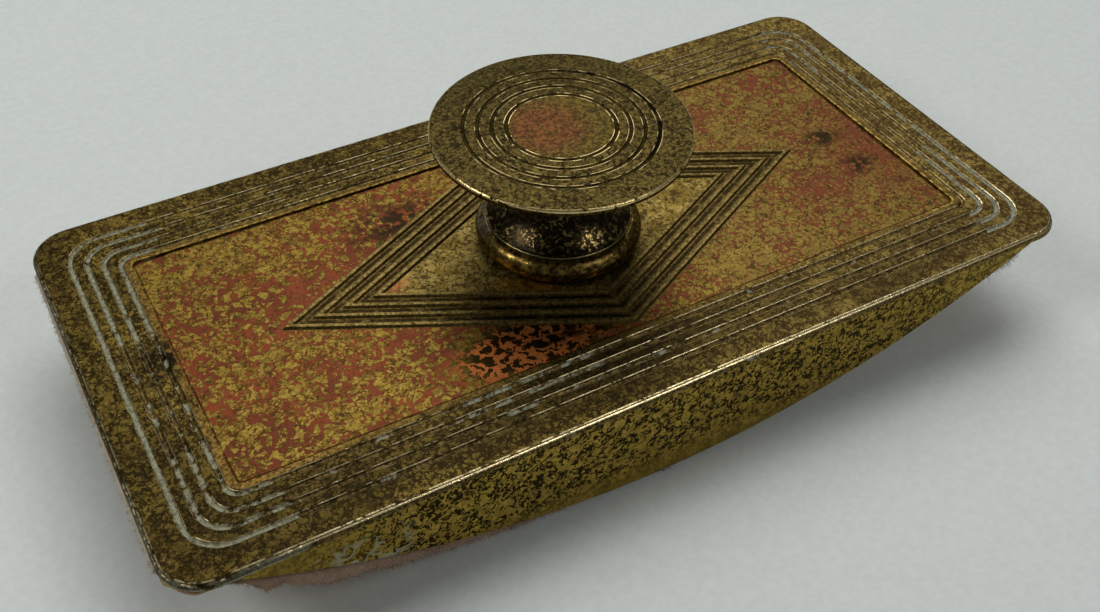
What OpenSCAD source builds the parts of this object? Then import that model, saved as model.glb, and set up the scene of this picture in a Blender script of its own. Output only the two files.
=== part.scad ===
// Rocker ink blotter for a desk set: a stamped cover with arc-cut skirts clamps a strip of
// blotting paper round the lipped ends of a curved rocker plate. A spool-shaped knob turns a
// captive stud in a square nut, and that opens or closes the clamp.
// Millimetres, +Z up, X along the cover, origin where the paper touches the desk.

/* [Cover] */
// Length of the cover plate
cover_l = 140; // [130:1:150]
// Width of the cover plate over the skirts
cover_w = 70; // [68:1:76]
// Radius of the cover's corners in plan
corner_r = 6; // [5.5:0.5:8]
// Thickness of the cover sheet
sheet_t = 1.0; // [0.8:0.1:1.2]
// Depth of the skirts below the cover's top at mid length
skirt_drop = 16.5; // [15:0.5:20]

/* [Border grooves] */
// Distance from the cover's edge to the middle of the outermost groove
groove_first = 4.5; // [4.2:0.1:5]
// Spacing of the four border grooves
groove_pitch = 2.1; // [1.8:0.1:2.1]
// Depth of the border grooves
groove_depth = 0.35; // [0.2:0.05:0.45]

/* [Panel and diamond] */
// Distance from the cover's edge to the sunk panel
panel_inset = 12.2; // [12:0.1:13]
// Depth of the sunk panel
panel_depth = 0.3; // [0.2:0.05:0.4]
// Half length of the diamond along X
diamond_half_l = 43.5; // [40:0.5:44]
// Half width of the diamond along Y
diamond_half_w = 21.75; // [21:0.25:22]
// Spacing of the diamond's four ridges, square to their sides
ridge_pitch = 1.97; // [1.7:0.01:2]
// Height of the diamond's ridges above the panel
ridge_h = 0.36; // [0.2:0.02:0.5]

/* [Knob] */
// Diameter of the knob's disc
disc_d = 37; // [30:0.5:40]
// Height of the disc's top above the cover's top
knob_h = 19.1; // [17:0.1:24]
// Thickness of the disc
disc_t = 1.1; // [0.8:0.1:2]
// Diameter of the neck at its waist
waist_d = 12.6; // [11:0.2:15]
// Diameter of the neck's bottom lip
neck_lip_d = 21.6; // [20:0.2:23]
// Diameter over the bead at the knob's foot
bead_d = 24.6; // [24:0.1:25]

/* [Rocker and paper] */
// Thickness of the blotting paper
paper_t = 0.5; // [0.4:0.1:0.8]
// Width of the blotting paper
paper_w = 67.2; // [62:0.2:67.2]
// Depth of paper showing below the skirts at mid length
paper_show = 1.0; // [0.8:0.1:2]
// Thickness of the rocker plate
rocker_t = 0.8; // [0.6:0.1:1]
// Width of the rocker plate
rocker_w = 66.4; // [60:0.2:66.4]
// Length of the paper folded back over each lip
paper_tail = 10; // [6:1:14]

/* [Bridge and nut] */
// Width of the bridge strap
bridge_w = 16; // [14:1:24]
// Half length of the bridge strap over its legs
bridge_half_l = 11; // [9:1:14]
// Thickness of the bridge strap
bridge_t = 1.0; // [0.8:0.1:1.2]
// Width across the flats of the square nut
nut_w = 9.5; // [8:0.5:12]
// Thickness of the square nut
nut_t = 4.5; // [3.5:0.1:4.8]

/* [Stud] */
// Diameter of the stud's thread
stud_d = 4.8; // [4:0.1:5]
// Pitch of the stud's thread
thread_pitch = 0.8; // [0.7:0.1:1]
// Diameter of the stud's plain shank
shank_d = 5.6; // [5.2:0.1:6]

/* [Hidden] */
$fn = 96;
// Overlap that cutters get past a face
past = 1;
// Overlap of joined shapes in one section
join = 0.5;
// Running fit of the stud, as a radius
run_fit = 0.08;

// Cover
plate_top = skirt_drop + paper_show;
plate_under = plate_top - sheet_t;
bend_r = 0.8;
skirt_half_l = cover_l / 2 - corner_r;
skirt_r = (skirt_half_l * skirt_half_l + skirt_drop * skirt_drop) / (2 * skirt_drop);
groove_w = 1.0;
groove_count = 4;
groove_corner_step = 1;
panel_corner_r = 1.2;
panel_line_w = 0.35;
panel_line_depth = 0.2;
panel_z = plate_top - panel_depth;

// Diamond
ridge_count = 4;
ridge_foot_w = 0.9;
ridge_top_w = 0.45;
// Distance from the cover's middle to a side of the diamond
diamond_in_r = diamond_half_l * diamond_half_w
    / sqrt(diamond_half_l * diamond_half_l + diamond_half_w * diamond_half_w);

// Rocker and paper: one centre for all the arcs
lip_len = 8;
// How far the lips end short of the cover
lip_short = 0.2;
lip_end = cover_l / 2 - lip_short;
flat_under = plate_under - 2 * paper_t - rocker_t;
flat_x = cover_l / 2 - lip_len;
paper_r = (flat_x * flat_x + flat_under * flat_under) / (2 * flat_under);
rocker_r = paper_r - paper_t;
rocker_in_r = rocker_r - rocker_t;
lip_under = flat_under + paper_t;
lip_top = lip_under + rocker_t;
// Centre of the lip's round edge, which the paper is wrapped round
wrap_x = lip_end - rocker_t / 2;
wrap_z = (lip_under + lip_top) / 2;
// How far the trimming outline of both strips runs past the cover's ends
trim_past = 2;

// Bridge, rivets and nut
bridge_room = 5;
bridge_top = plate_under - bridge_room;
bridge_hole_gap = 0.3;
foot_len = 8;
rivet_x = bridge_half_l + foot_len / 2;
rivet_y = 5;
rivet_d = 2.4;
rivet_head_d = 4.2;
rivet_head_h = 0.9;
rivet_sink_d = 3.4;
nut_top = bridge_top - bridge_t;

// Knob
disc_top = plate_top + knob_h;
disc_under = disc_top - disc_t;
disc_rim_r = 0.35;
disc_groove_w = 0.6;
disc_groove_depth = 0.22;
disc_groove_first = 7.7;
disc_groove_pitch = 2.0;
bead_round_r = 1.95;
bead_top = panel_z + 2 * bead_round_r;
neck_lip_t = 0.5;
// The neck's hollow is one arc through the waist and the lip
neck_waist_h = 11.5;
neck_waist_z = plate_top + neck_waist_h;
neck_drop = neck_waist_z - bead_top - neck_lip_t;
neck_step = (neck_lip_d - waist_d) / 2;
neck_arc_r = (neck_drop * neck_drop + neck_step * neck_step) / (2 * neck_step);

// Stud
stud_past_nut = 2.5;
stud_end = nut_top - nut_t - stud_past_nut;
stud_chamfer = 0.3;
neck_solid = 3;
shank_top = disc_under - neck_solid;
collar_d = 10;
collar_t = 1.2;
collar_gap = 0.05;
thread_top = plate_under - collar_gap - collar_t;
thread_depth = 0.4;
thread_tip = 0.8;

// ---------------------------------------------------------------- helpers

// Rectangle with round corners, centred
module round_rect(l, w, r) {
    square([l, w - 2 * r], center = true);
    square([l - 2 * r, w], center = true);
    for (sx = [-1, 1], sy = [-1, 1])
        translate([sx * (l / 2 - r), sy * (w / 2 - r)])
            circle(r = r);
}

// Sweeps a profile round a rectangle with round corners; the profile's Y becomes Z and its
// X runs outward from the path
module sweep_round_rect(l, w, r) {
    for (side = [0, 1]) {
        long = side == 0 ? l : w;
        away = side == 0 ? w : l;
        for (turn = [0, 180])
            rotate([0, 0, side * 90 + turn])
                translate([0, away / 2, 0])
                    rotate([0, 0, 90])
                        rotate([90, 0, 0])
                            linear_extrude(height = long - 2 * r, center = true)
                                children();
    }
    for (quarter = [0:3]) {
        sx = quarter == 0 || quarter == 3 ? 1 : -1;
        sy = quarter < 2 ? 1 : -1;
        translate([sx * (l / 2 - r), sy * (w / 2 - r), 0])
            rotate([0, 0, quarter * 90])
                rotate_extrude(angle = 90)
                    translate([r, 0])
                        children();
    }
}

// Section of a pressed groove with eased edges, its mouth at Y = 0
module groove_section(w, d) {
    polygon([[-0.5 * w, 0], [-0.33 * w, -0.28 * d], [-0.2 * w, -0.78 * d], [0, -d],
        [0.2 * w, -0.78 * d], [0.33 * w, -0.28 * d], [0.5 * w, 0],
        [0.5 * w, past], [-0.5 * w, past]]);
}

// Part of the ring between two radii about the rocker's centre, as a section in X and Z
module rocker_arc(r_out, r_in, half_l, top) {
    intersection() {
        translate([0, paper_r])
            difference() {
                circle(r = r_out, $fn = 720);
                circle(r = r_in, $fn = 720);
            }
        translate([-half_l, 0])
            square([2 * half_l, top]);
    }
}

// Stands a section drawn in X and Z upright and gives it a width along Y
module across(w) {
    rotate([90, 0, 0])
        linear_extrude(height = w, center = true)
            children();
}

// ---------------------------------------------------------------- cover

module cover_blank() {
    translate([0, 0, plate_under])
        linear_extrude(height = sheet_t)
            round_rect(cover_l, cover_w, corner_r);
    for (side = [-1, 1])
        translate([0, side * (cover_w - sheet_t) / 2, 0])
            across(sheet_t)
                intersection() {
                    translate([0, plate_top - skirt_drop + skirt_r])
                        circle(r = skirt_r, $fn = 720);
                    translate([-skirt_half_l, plate_top - skirt_drop - past])
                        square([2 * skirt_half_l, skirt_drop + past - bend_r]);
                }
}

// Takes the sharp corner off the cover's top edge, all the way round
module edge_rounding() {
    translate([0, 0, plate_top])
        sweep_round_rect(cover_l, cover_w, corner_r)
            difference() {
                translate([-bend_r, -bend_r])
                    square([bend_r + past, bend_r + past]);
                translate([-bend_r, -bend_r])
                    circle(r = bend_r);
            }
}

module border_grooves() {
    for (i = [0:groove_count - 1]) {
        inset = groove_first + i * groove_pitch;
        r = corner_r - (i + 1) * groove_corner_step;
        translate([0, 0, plate_top])
            sweep_round_rect(cover_l - 2 * inset, cover_w - 2 * inset, r)
                groove_section(groove_w, groove_depth);
    }
}

module sunk_panel() {
    panel_l = cover_l - 2 * panel_inset;
    panel_w = cover_w - 2 * panel_inset;
    translate([0, 0, panel_z])
        linear_extrude(height = panel_depth + past)
            round_rect(panel_l, panel_w, panel_corner_r);
    translate([0, 0, panel_z - panel_line_depth])
        linear_extrude(height = panel_line_depth + past)
            difference() {
                round_rect(panel_l, panel_w, panel_corner_r);
                round_rect(panel_l - 2 * panel_line_w, panel_w - 2 * panel_line_w,
                    panel_corner_r - panel_line_w);
            }
}

// Diamond whose sides are in_r from the middle
module diamond(in_r) {
    grow = in_r / diamond_in_r;
    polygon([[diamond_half_l * grow, 0], [0, diamond_half_w * grow],
        [-diamond_half_l * grow, 0], [0, -diamond_half_w * grow]]);
}

// One closed ridge with sloping flanks round the diamond; in_r is to the middle of its crest
module diamond_ridge(in_r) {
    foot = in_r + ridge_foot_w / 2;
    crest = in_r + ridge_top_w / 2;
    inner_foot = in_r - ridge_foot_w / 2;
    inner_crest = in_r - ridge_top_w / 2;
    translate([0, 0, panel_z])
        difference() {
            linear_extrude(height = ridge_h, scale = crest / foot)
                diamond(foot);
            linear_extrude(height = ridge_h, scale = inner_crest / inner_foot)
                diamond(inner_foot);
        }
}

module cover_plate() {
    color([0.40, 0.33, 0.16]) {
        difference() {
            cover_blank();
            edge_rounding();
            border_grooves();
            sunk_panel();
            translate([0, 0, plate_under - past])
                cylinder(d = shank_d + 2 * run_fit, h = sheet_t + 2 * past);
        }
        for (i = [0:ridge_count - 1])
            diamond_ridge(diamond_in_r - ridge_foot_w / 2 - i * ridge_pitch);
    }
}

// ---------------------------------------------------------------- rocker and paper

// Upright block that rounds off the corners of a strip of that width
module corner_trim(w) {
    linear_extrude(height = plate_top)
        round_rect(cover_l + 2 * trim_past, w, corner_r + trim_past);
}

// Flat lip with a round edge, as a section, for the +X end
module rocker_lip() {
    translate([flat_x - join, lip_under])
        square([wrap_x - flat_x + join, rocker_t]);
    translate([wrap_x, wrap_z])
        circle(d = rocker_t);
}

module rocker_plate() {
    color([0.55, 0.47, 0.28])
        difference() {
            intersection() {
                across(rocker_w) {
                    rocker_arc(rocker_r, rocker_in_r, flat_x + past, lip_top);
                    rocker_lip();
                    mirror([1, 0])
                        rocker_lip();
                }
                corner_trim(rocker_w);
            }
            rivet_places()
                rivet_hole();
        }
}

// Half of the paper's section, for the +X end
module paper_end_section() {
    translate([flat_x - join, flat_under])
        square([wrap_x - flat_x + join, paper_t]);
    translate([wrap_x - paper_tail, lip_top])
        square([paper_tail, paper_t]);
    intersection() {
        translate([wrap_x, wrap_z])
            difference() {
                circle(r = rocker_t / 2 + paper_t);
                circle(r = rocker_t / 2);
            }
        translate([wrap_x, flat_under])
            square([paper_t + rocker_t, 2 * paper_t + rocker_t]);
    }
}

module blotting_paper() {
    color([0.80, 0.62, 0.55])
        intersection() {
            across(paper_w) {
                rocker_arc(paper_r, rocker_r, flat_x + past, lip_under);
                paper_end_section();
                mirror([1, 0])
                    paper_end_section();
            }
            corner_trim(paper_w);
        }
}

// ---------------------------------------------------------------- bridge, rivets, nut

// Puts its children at the four rivets, with Z pointing at the rocker's centre from Z = 0 on
// the outside of the rocker plate
module rivet_places() {
    tilt = asin(rivet_x / rocker_in_r);
    for (side = [-1, 1], y = [-rivet_y, rivet_y])
        translate([0, y, paper_r])
            rotate([0, -side * tilt, 0])
                translate([0, 0, -rocker_r])
                    children();
}

// Room for a rivet's shank and its sunk end in the rocker plate and the strap's foot
module rivet_hole() {
    translate([0, 0, -past])
        cylinder(d = rivet_d, h = rocker_t + bridge_t + 2 * past);
    translate([0, 0, -rivet_sink_d / 10])
        cylinder(d1 = rivet_sink_d + rivet_sink_d / 5, d2 = rivet_d, h = rivet_sink_d / 5);
}

module bridge_strap() {
    foot_end = bridge_half_l + foot_len;
    color([0.62, 0.60, 0.52])
        difference() {
            across(bridge_w) {
                difference() {
                    rocker_arc(rocker_in_r, rocker_in_r - bridge_t, foot_end, bridge_top);
                    translate([-bridge_half_l + bridge_t / 2, 0])
                        square([2 * bridge_half_l - bridge_t, bridge_top]);
                }
                for (side = [-1, 1])
                    intersection() {
                        translate([side * (bridge_half_l - bridge_t / 2) - bridge_t / 2, 0])
                            square([bridge_t, bridge_top]);
                        translate([0, paper_r])
                            circle(r = rocker_in_r, $fn = 720);
                    }
                translate([-bridge_half_l, bridge_top - bridge_t])
                    square([2 * bridge_half_l, bridge_t]);
            }
            translate([0, 0, bridge_top - bridge_t - past])
                cylinder(d = stud_d + 2 * bridge_hole_gap, h = bridge_t + 2 * past);
            rivet_places()
                rivet_hole();
        }
}

// Everything nearer than r to the rocker's centre, seen from a rivet's place
module inside_radius(r) {
    translate([0, 0, rocker_r])
        rotate([90, 0, 0])
            cylinder(r = r, h = 4 * rivet_head_d, center = true, $fn = 720);
}

module bridge_rivets() {
    foot_top = rocker_t + bridge_t;
    color([0.70, 0.62, 0.38])
        rivet_places() {
            intersection() {
                rivet_hole();
                inside_radius(rocker_r);
                translate([0, 0, -past])
                    cylinder(d = rivet_head_d, h = foot_top + past + rivet_head_h / 2);
            }
            intersection() {
                inside_radius(rocker_r - foot_top);
                translate([0, 0, foot_top - rivet_head_h / 4])
                    cylinder(d1 = rivet_head_d, d2 = rivet_d, h = rivet_head_h);
            }
        }
}

module square_nut() {
    color([0.60, 0.56, 0.42])
        translate([0, 0, nut_top - nut_t])
            difference() {
                linear_extrude(height = nut_t)
                    square([nut_w, nut_w], center = true);
                translate([0, 0, -past])
                    cylinder(d = stud_d + 2 * run_fit, h = nut_t + 2 * past);
            }
}

// ---------------------------------------------------------------- knob

module knob_disc() {
    color([0.38, 0.34, 0.19])
        difference() {
            translate([0, 0, disc_under])
                rotate_extrude($fn = 180) {
                    square([disc_d / 2 - disc_rim_r, disc_t]);
                    translate([0, disc_rim_r])
                        square([disc_d / 2, disc_t - 2 * disc_rim_r]);
                    for (z = [disc_rim_r, disc_t - disc_rim_r])
                        translate([disc_d / 2 - disc_rim_r, z])
                            circle(r = disc_rim_r, $fn = 24);
                }
            for (i = [0:3])
                translate([0, 0, disc_top])
                    rotate_extrude($fn = 144)
                        translate([disc_groove_first + i * disc_groove_pitch, 0])
                            groove_section(disc_groove_w, disc_groove_depth);
        }
}

module knob_neck() {
    color([0.10, 0.09, 0.06])
        difference() {
            translate([0, 0, bead_top])
                rotate_extrude() {
                    square([neck_lip_d / 2 - neck_lip_t / 2, neck_lip_t]);
                    translate([neck_lip_d / 2 - neck_lip_t / 2, neck_lip_t / 2])
                        circle(d = neck_lip_t, $fn = 24);
                    difference() {
                        square([neck_lip_d / 2 - neck_lip_t / 2, disc_under - bead_top]);
                        translate([waist_d / 2 + neck_arc_r, neck_waist_z - bead_top])
                            circle(r = neck_arc_r, $fn = 144);
                    }
                }
            translate([0, 0, bead_top - past])
                cylinder(d = shank_d, h = shank_top - bead_top + past);
        }
}

module knob_bead() {
    color([0.72, 0.58, 0.22])
        translate([0, 0, panel_z])
            rotate_extrude() {
                translate([shank_d / 2, 0])
                    square([bead_d / 2 - bead_round_r - shank_d / 2, 2 * bead_round_r]);
                translate([bead_d / 2 - bead_round_r, bead_round_r])
                    circle(r = bead_round_r, $fn = 64);
            }
}

module knob_stud() {
    core_d = stud_d - 2 * thread_depth;
    turns = floor((thread_top - stud_end - thread_tip) / thread_pitch);
    color([0.66, 0.62, 0.46]) {
        translate([0, 0, thread_top])
            cylinder(d = shank_d, h = shank_top - thread_top);
        translate([0, 0, stud_end])
            cylinder(d1 = core_d - 2 * stud_chamfer, d2 = core_d, h = stud_chamfer);
        translate([0, 0, stud_end + stud_chamfer])
            cylinder(d = core_d, h = thread_top - stud_end - stud_chamfer);
        for (i = [0:turns - 1])
            translate([0, 0, thread_top - (i + 1) * thread_pitch])
                rotate_extrude($fn = 48)
                    polygon([[0, 0], [core_d / 2, 0], [stud_d / 2, 0.4 * thread_pitch],
                        [stud_d / 2, 0.55 * thread_pitch], [core_d / 2, 0.95 * thread_pitch],
                        [0, 0.95 * thread_pitch]]);
    }
}

module stud_collar() {
    color([0.60, 0.52, 0.30])
        translate([0, 0, thread_top])
            difference() {
                cylinder(d = collar_d, h = collar_t);
                translate([0, 0, -past])
                    cylinder(d = shank_d, h = collar_t + 2 * past);
            }
}

cover_plate();
rocker_plate();
blotting_paper();
bridge_strap();
bridge_rivets();
square_nut();
knob_disc();
knob_neck();
knob_bead();
knob_stud();
stud_collar();
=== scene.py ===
"""Rocker ink blotter: the materials, the paper, the floor, the light and the camera.

Everything is in metres in the CAD frame: X along the cover, Z up, the origin where the paper
touches the desk. Materials work in millimetres, with Z counted from the cover's top face.
"""

import math
from random import Random

import bmesh
import bpy
from mathutils import Matrix, Vector, noise


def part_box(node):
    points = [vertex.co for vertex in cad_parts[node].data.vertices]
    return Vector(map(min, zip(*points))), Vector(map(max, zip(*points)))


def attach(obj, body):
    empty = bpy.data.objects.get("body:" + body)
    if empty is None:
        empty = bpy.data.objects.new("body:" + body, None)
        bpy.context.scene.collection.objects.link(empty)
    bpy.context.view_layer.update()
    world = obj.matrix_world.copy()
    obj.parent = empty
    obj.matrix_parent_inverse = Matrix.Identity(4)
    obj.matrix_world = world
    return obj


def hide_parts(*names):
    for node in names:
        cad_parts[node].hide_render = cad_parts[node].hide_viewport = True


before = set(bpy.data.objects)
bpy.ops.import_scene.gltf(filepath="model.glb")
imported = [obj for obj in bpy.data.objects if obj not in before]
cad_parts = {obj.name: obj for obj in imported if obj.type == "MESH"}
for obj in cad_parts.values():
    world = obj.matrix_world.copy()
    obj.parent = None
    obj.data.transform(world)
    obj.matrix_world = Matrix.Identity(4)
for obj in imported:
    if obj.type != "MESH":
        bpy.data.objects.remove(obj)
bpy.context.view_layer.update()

MM = 0.001

# ---------------------------------------------------------------- sizes taken from the frame

_, cover_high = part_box("cover_plate")
_, paper_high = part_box("blotting_paper")
_, disc_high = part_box("knob_disc")
bead_low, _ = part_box("knob_bead")

# Millimetres from here on, as in the design
PANEL_DEPTH = 0.3
PLATE_TOP = bead_low.z / MM + PANEL_DEPTH
HALF_L = cover_high.x / MM
HALF_W = cover_high.y / MM
CORNER_R = 6.0
BEND_R = 0.8
# The skirts begin this far below the top face
SKIRT_FROM = 0.9

GROOVE_FIRST = 4.5
GROOVE_PITCH = 2.1
GROOVE_REACH = 0.9
GROOVE_CORNER_R = 9.5
PANEL_INSET = 12.2
PANEL_CORNER_R = 1.2

# The diamond's half diagonals, and how far its sides lie from the middle
DIAMOND_L, DIAMOND_W = 43.5, 21.75
DIAMOND_SIDE = math.hypot(DIAMOND_L, DIAMOND_W)
DIAMOND_OUT = DIAMOND_L * DIAMOND_W / DIAMOND_SIDE
RIDGE_PITCH = 1.97
RIDGE_FOOT = 0.9
DIAMOND_IN = DIAMOND_OUT - 3 * RIDGE_PITCH - RIDGE_FOOT

DISC_TOP = disc_high.z / MM - PLATE_TOP
DISC_R = disc_high.x / MM
NECK_LIP_R = 10.7
RING_FIRST = 7.7
RING_PITCH = 2.0
RING_COUNT = 4

# The paper strip: an arc about one centre, a flat at each end, a wrap round the lip and a tail
PAPER_T = 0.5
ROCKER_T = 0.8
SHEET_T = 1.0
PAPER_HALF_W = paper_high.y / MM
FLAT_X = HALF_L - 8.0
FLAT_Z = PLATE_TOP - SHEET_T - 2 * PAPER_T - ROCKER_T
PAPER_R = (FLAT_X ** 2 + FLAT_Z ** 2) / (2 * FLAT_Z)
WRAP_X = paper_high.x / MM - PAPER_T - ROCKER_T / 2
WRAP_Z = FLAT_Z + PAPER_T + ROCKER_T / 2
WRAP_R = (ROCKER_T + PAPER_T) / 2
WRAP_STEPS = 10
TAIL = 10.0


# ---------------------------------------------------------------- material graphs


def linear(colour):
    """An sRGB colour in 0 to 255 as a linear RGBA."""
    def channel(c):
        c = c / 255
        return c / 12.92 if c <= 0.04045 else ((c + 0.055) / 1.055) ** 2.4

    return (*(channel(c) for c in colour), 1.0)


class Graph:
    """One material's node tree, with a short call for each kind of node."""

    def __init__(self, name, **fixed):
        self.material = bpy.data.materials.new(name)
        self.material.use_nodes = True
        self.tree = self.material.node_tree
        self.shader = self.tree.nodes["Principled BSDF"]
        for socket, value in fixed.items():
            self.shader.inputs[socket.replace("_", " ")].default_value = value
        coords = self.add("ShaderNodeTexCoord").outputs["Object"]
        scaled = self.add("ShaderNodeVectorMath", operation="SCALE")
        self.put(scaled.inputs[0], coords)
        scaled.inputs["Scale"].default_value = 1 / MM
        lowered = self.add("ShaderNodeVectorMath", operation="SUBTRACT")
        self.put(lowered.inputs[0], scaled.outputs[0])
        lowered.inputs[1].default_value = (0, 0, PLATE_TOP)
        self.place = lowered.outputs[0]
        parts = self.add("ShaderNodeSeparateXYZ")
        self.put(parts.inputs[0], self.place)
        self.x, self.y, self.z = parts.outputs

    def add(self, kind, **settings):
        """A new node of that kind, with its settings."""
        node = self.tree.nodes.new(kind)
        for key, value in settings.items():
            setattr(node, key, value)
        return node

    def put(self, socket, value):
        """Links a socket, or sets it to a number or an sRGB colour."""
        if isinstance(value, bpy.types.NodeSocket):
            self.tree.links.new(value, socket)
        elif isinstance(value, tuple) and socket.type == "RGBA":
            socket.default_value = linear(value)
        else:
            socket.default_value = value

    def math(self, operation, *values, clamp=False):
        """A Math node's result."""
        node = self.add("ShaderNodeMath", operation=operation, use_clamp=clamp)
        for socket, value in zip(node.inputs, values):
            self.put(socket, value)
        return node.outputs[0]

    def product(self, first, *others, clamp=False):
        """All the values multiplied."""
        for other in others:
            first = self.math("MULTIPLY", first, other, clamp=clamp)
        return first

    def total(self, first, *others):
        """The sum of all the values."""
        for other in others:
            first = self.math("ADD", first, other)
        return first

    def most(self, first, *others):
        """The largest of the values."""
        for other in others:
            first = self.math("MAXIMUM", first, other)
        return first

    def inverse(self, value):
        """1 less the value."""
        return self.math("SUBTRACT", 1.0, value)

    def ramp(self, value, low, high, start=0.0, end=1.0):
        """start up to low, end from high on, and a smooth step between."""
        node = self.add("ShaderNodeMapRange", interpolation_type="SMOOTHSTEP")
        for socket, number in zip(node.inputs, (value, low, high, start, end)):
            self.put(socket, number)
        return node.outputs[0]

    def between(self, value, low, high, soft):
        """1 where value is from low to high, with soft edges."""
        return self.product(
            self.ramp(value, low - soft, low + soft), self.ramp(value, high - soft, high + soft, 1, 0)
        )

    def spread(self, seed, stretch=(1, 1, 1)):
        """The place, moved by a seed and stretched, for a texture."""
        node = self.add("ShaderNodeMapping", vector_type="POINT")
        self.put(node.inputs["Vector"], self.place)
        node.inputs["Location"].default_value = (17.3 * seed, 5.9 * seed, 11.1 * seed)
        node.inputs["Scale"].default_value = tuple(1 / s for s in stretch)
        return node.outputs[0]

    def noise(self, size, detail=2.0, rough=0.5, warp=0.0, seed=0, stretch=(1, 1, 1)):
        """Smooth noise about 0.5, with features of that size in millimetres."""
        node = self.add("ShaderNodeTexNoise")
        self.put(node.inputs["Vector"], self.spread(seed, stretch))
        for key, value in (
            ("Scale", 1 / size),
            ("Detail", detail),
            ("Roughness", rough),
            ("Distortion", warp),
        ):
            node.inputs[key].default_value = value
        return node.outputs["Fac"]

    def cell_walls(self, size, jitter, seed):
        """Distance from the walls of a flat pattern of cells of that size, counted in sizes. The
        walls are bent by jitter millimetres of noise."""
        vector = self.spread(seed)
        bend = self.add("ShaderNodeTexNoise")
        self.put(bend.inputs["Vector"], vector)
        bend.inputs["Scale"].default_value = 1.4 / size
        bend.inputs["Detail"].default_value = 3.0
        shift = self.add("ShaderNodeVectorMath", operation="MULTIPLY_ADD")
        self.put(shift.inputs[0], bend.outputs["Color"])
        shift.inputs[1].default_value = (jitter, jitter, jitter)
        self.put(shift.inputs[2], vector)
        node = self.add("ShaderNodeTexVoronoi", feature="DISTANCE_TO_EDGE", voronoi_dimensions="2D")
        self.put(node.inputs["Vector"], shift.outputs[0])
        node.inputs["Scale"].default_value = 1 / size
        return node.outputs["Distance"]

    def squiggles(self, size, width, cover, seed):
        """Short bent strokes: pieces of a noise's middle line, kept where a second noise is high."""
        line = self.noise(size, 1.0, 0.5, 0.6, seed)
        off = self.math("ABSOLUTE", self.math("SUBTRACT", line, 0.5))
        kept = self.noise(size * 1.3, 2.0, 0.6, 0.4, seed + 3)
        return self.product(
            self.ramp(off, width * 0.5, width * 1.3, 1, 0),
            self.ramp(kept, 1 - cover - 0.03, 1 - cover + 0.03),
        )

    def spot(self, x, y, radius, squash=1.0):
        """1 at a point of the cover, fading to 0 at radius, with squash along Y."""
        dx = self.math("DIVIDE", self.math("SUBTRACT", self.x, x), radius)
        dy = self.math("DIVIDE", self.math("SUBTRACT", self.y, y), radius * squash)
        far = self.math("SQRT", self.total(self.product(dx, dx), self.product(dy, dy)))
        return self.ramp(far, 0.15, 1.0, 1, 0)

    def spots(self, places):
        """The sum of some spots, each given as X, Y, radius, squash and amount."""
        return self.total(*(self.product(self.spot(*spot), amount) for *spot, amount in places))

    def mix(self, amount, under, over):
        """The colour over laid on the colour under, by that amount."""
        node = self.add("ShaderNodeMix", data_type="RGBA")
        self.put(node.inputs["Factor"], amount)
        self.put(node.inputs[6], under)
        self.put(node.inputs[7], over)
        return node.outputs[2]

    def blend(self, amount, under, over):
        """The same as mix, for numbers."""
        node = self.add("ShaderNodeMix", data_type="FLOAT")
        for index, value in ((0, amount), (2, under), (3, over)):
            self.put(node.inputs[index], value)
        return node.outputs[0]

    def bump(self, height, depth):
        """Bump of that depth in millimetres for a height of 1."""
        node = self.add("ShaderNodeBump")
        node.inputs["Distance"].default_value = depth * MM
        node.inputs["Strength"].default_value = 1.0
        self.put(node.inputs["Height"], height)
        return node.outputs[0]

    def finish(self, colour, rough, metal, normal):
        """The material, with its shader's inputs set."""
        for socket, value in (
            ("Base Color", colour),
            ("Roughness", rough),
            ("Metallic", metal),
            ("Normal", normal),
        ):
            self.put(self.shader.inputs[socket], value)
        return self.material


# ---------------------------------------------------------------- the cover's bronze

# Bare brass, also the colour of the painted highlight on the bend and the grooves' lips
BRASS_AND_HIGHLIGHT = (250, 228, 176)
# Keeps the metal warm where it is seen at a low angle
EDGE_TINT = (0.97, 0.88, 0.66, 1.0)
RESIDUE = (160, 160, 134)
RESIDUE_COOL = (156, 159, 140)


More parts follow.
